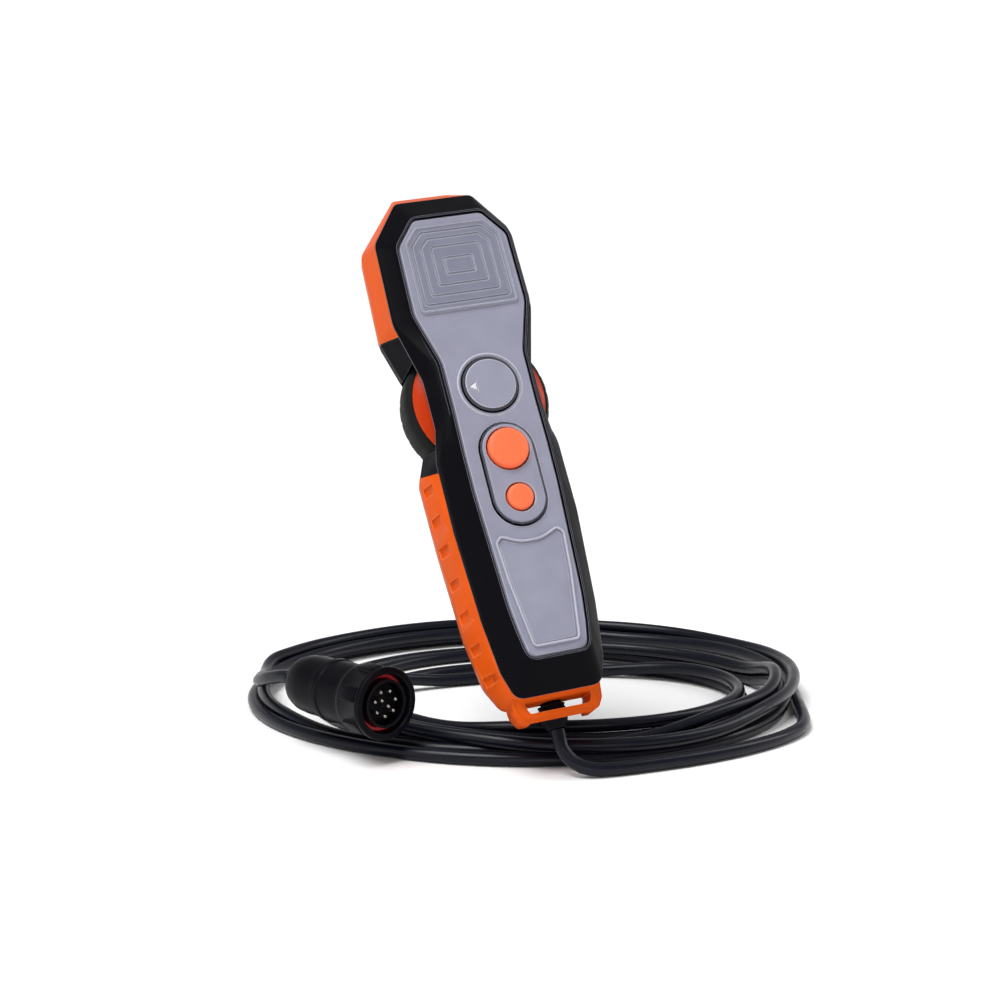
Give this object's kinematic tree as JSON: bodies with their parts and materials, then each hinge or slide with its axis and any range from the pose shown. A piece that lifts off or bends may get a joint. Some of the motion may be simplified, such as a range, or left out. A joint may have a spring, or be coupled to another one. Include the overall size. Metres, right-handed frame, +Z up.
{
  "type": "pendant control station",
  "caption": "Hand-held pendant control station: thumbwheel dial, push buttons, lanyard loop and a coiled cable ending in a round multi-pin connector.",
  "frame": {"origin": "point on the floor under the foot of the hand-held body, on the flat underside of the coiled cable", "axes": "+Z up from the floor; -Y towards the side that the control face looks at; +X to the right as seen from the control face"},
  "size_m": [0.2773, 0.2839, 0.2388],
  "materials": {
    "black_plastic": "satin",
    "orange_plastic": "satin",
    "orange_button": "satin",
    "grey_plastic": "satin",
    "white_print": "matte",
    "black_rubber": "matte",
    "steel": "satin",
    "contact_metal": "satin",
    "dark_part": "matte",
    "board_green": "satin",
    "red_seal": "satin",
    "cable_sheath": "satin"
  },
  "bodies": {
    "housing": {"badge_plate": "grey_plastic", "board_screw_1": "steel", "board_screw_2": "steel", "cable_terminal": "dark_part", "connector_back_nut": "black_plastic", "connector_body": "black_plastic", "connector_boot": "black_plastic", "connector_seal": "red_seal", "contact_insert": "black_plastic", "contact_pin_1": "contact_metal", "contact_pin_2": "contact_metal", "contact_pin_3": "contact_metal", "contact_pin_4": "contact_metal", "contact_pin_5": "contact_metal", "contact_pin_6": "contact_metal", "contact_pin_7": "contact_metal", "contact_pin_8": "contact_metal", "contact_pin_9": "contact_metal", "cord_coil": "cable_sheath", "cord_lead": "cable_sheath", "cord_tail": "cable_sheath", "dial_sensor": "dark_part", "face_plate": "grey_plastic", "front_shell": "black_plastic", "gland_body": "black_plastic", "gland_locknut": "black_plastic", "gland_nut": "black_plastic", "grip_frame": "orange_plastic", "head_guard": "orange_plastic", "head_pad": "grey_plastic", "housing_screw_1": "steel", "housing_screw_2": "steel", "housing_screw_3": "steel", "housing_screw_4": "steel", "housing_screw_5": "steel", "housing_screw_6": "steel", "key_bezel": "black_plastic", "key_board": "board_green", "key_plate": "grey_plastic", "large_key_switch": "dark_part", "main_board": "board_green", "rear_shell": "black_plastic", "small_key_switch": "dark_part"},
    "dial": {"dial_knob": "black_plastic", "dial_cap": "grey_plastic", "dial_pointer": "white_print", "wheel_hub": "orange_plastic", "wheel_tyre": "black_rubber", "wheel_shaft": "steel"},
    "large_key": {"large_button": "orange_button"},
    "small_key": {"small_button": "orange_button"},
    "plug_ring": {"coupling_ring": "black_plastic"}
  },
  "joints": [
    {"name": "dial_turn", "type": "hinge", "parent": "housing", "child": "dial", "pos_m": [-0.0099, 0.0075, 0.1605], "axis": [0.2434, -0.8608, 0.447], "range_deg": [-135, 135]},
    {"name": "large_button_press", "type": "slide", "parent": "housing", "child": "large_key", "axis": [0.2434, -0.8608, 0.447], "range_m": [-0.0012, 0], "stiffness_N_per_m": 1500},
    {"name": "small_button_press", "type": "slide", "parent": "housing", "child": "small_key", "axis": [0.2434, -0.8608, 0.447], "range_m": [-0.0012, 0], "stiffness_N_per_m": 1500},
    {"name": "coupling_ring_turn", "type": "hinge", "parent": "housing", "child": "plug_ring", "pos_m": [-0.0536, -0.0148, 0.027], "axis": [0.6552, -0.7553, 0.015], "range_deg": [0, 120]}
  ]
}
